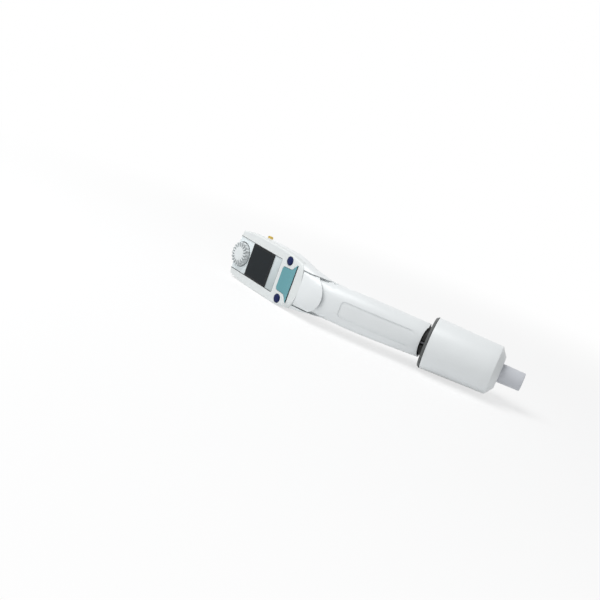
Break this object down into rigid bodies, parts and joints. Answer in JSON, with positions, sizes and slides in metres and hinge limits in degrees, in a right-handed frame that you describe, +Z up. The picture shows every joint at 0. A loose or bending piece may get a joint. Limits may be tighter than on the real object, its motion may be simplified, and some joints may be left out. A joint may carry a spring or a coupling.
{
  "type": "electronic pipette",
  "caption": "Handheld motor-driven pipette with a bent display head, selection dial, keys, rocker, thumb ejector and wide ejector sleeve.",
  "frame": {"origin": "centre of the bounding box in plan, at the bench the instrument lies on", "axes": "+X along the instrument to the tip end, -Y the side the display faces, +Z up from the flank it lies on"},
  "size_m": [0.2876, 0.069, 0.0496],
  "materials": {
    "white_shell": "satin white moulding",
    "bezel_plastic": "fine satin off-white",
    "silver_panel": "fine silver lacquer",
    "dark_window": "dark gloss lens",
    "navy_key": "navy gloss",
    "turquoise_rocker": "satin turquoise",
    "black_plastic": "fine matte black",
    "grey_ring": "matte dark grey",
    "cone_plastic": "satin light grey",
    "steel": "turned",
    "gold_contact": "gold plated",
    "seal_rubber": "matte",
    "cylinder_plastic": "natural resin",
    "filter_foam": "porous white",
    "board_green": "solder mask",
    "battery_wrap": "film wrapped",
    "brass_nut": "machined"
  },
  "bodies": {
    "base": {"main_housing": "white_shell", "front_bezel": "bezel_plastic", "display_panel": "silver_panel", "display_window": "dark_window", "display_module": "black_plastic", "main_board": "board_green", "board_screw_1": "steel", "board_screw_2": "steel", "board_screw_3": "steel", "board_screw_4": "steel", "dial_encoder": "black_plastic", "key_switch_left": "steel", "key_switch_right": "steel", "rocker_pin": "steel", "battery": "battery_wrap", "charging_contact_left": "gold_contact", "charging_contact_right": "gold_contact", "drive_frame": "black_plastic", "gearbox": "brass_nut", "drive_motor": "steel", "coupling_collar": "black_plastic", "cylinder_head": "black_plastic", "cylinder": "cylinder_plastic", "tip_cone": "cone_plastic", "cone_filter": "filter_foam", "finger_rest": "white_shell", "ejector_spring": "steel"},
    "dial": {"selection_dial": "silver_panel", "dial_shaft": "steel"},
    "rocker": {"rocker": "turquoise_rocker"},
    "key_left": {"key_left": "navy_key"},
    "key_right": {"key_right": "navy_key"},
    "ejector": {"ejector_button": "white_shell", "ejector_rod": "steel", "sleeve_ring": "grey_ring", "ejector_sleeve": "white_shell"},
    "plunger": {"piston": "cone_plastic", "piston_seal": "seal_rubber", "piston_rod": "steel", "spindle_nut": "brass_nut"},
    "screw": {"lead_screw": "steel"},
    "cover": {"battery_cover": "white_shell"}
  },
  "joints": [
    {"name": "dial_spin", "type": "hinge", "parent": "base", "child": "dial", "pos_m": [-0.1331, 0.02329, 0.024], "axis": [-0.5027, -0.8645, 0], "continuous": true},
    {"name": "rocker_tilt", "type": "hinge", "parent": "base", "child": "rocker", "pos_m": [-0.07164, -0.00829, 0.024], "axis": [0, 0, 1], "range_deg": [-3.5, 3.5], "stiffness_Nm_per_rad": 0.05},
    {"name": "key_left_press", "type": "slide", "parent": "base", "child": "key_left", "axis": [0.5027, 0.8645, 0], "range_m": [0, 0.0008], "stiffness_N_per_m": 400},
    {"name": "key_right_press", "type": "slide", "parent": "base", "child": "key_right", "axis": [0.5027, 0.8645, 0], "range_m": [0, 0.0008], "stiffness_N_per_m": 400},
    {"name": "ejector_slide", "type": "slide", "parent": "base", "child": "ejector", "axis": [1, 0, 0], "range_m": [0, 0.007], "stiffness_N_per_m": 400, "springref_m": -0.004, "deforming": ["ejector_spring"]},
    {"name": "piston_slide", "type": "slide", "parent": "base", "child": "plunger", "axis": [-1, 0, 0], "range_m": [0, 0.016]},
    {"name": "screw_spin", "type": "hinge", "parent": "base", "child": "screw", "pos_m": [0.04384, -0.01135, 0.024], "axis": [-1, 0, 0], "range_deg": [-5, 2890]},
    {"name": "cover_lift", "type": "slide", "parent": "base", "child": "cover", "axis": [0.5027, 0.8645, 0], "range_m": [0, 0.015]}
  ],
  "couplings": [
    {"joint": "screw_spin", "follows": "piston_slide", "rad_per_m": 3141.6}
  ]
}
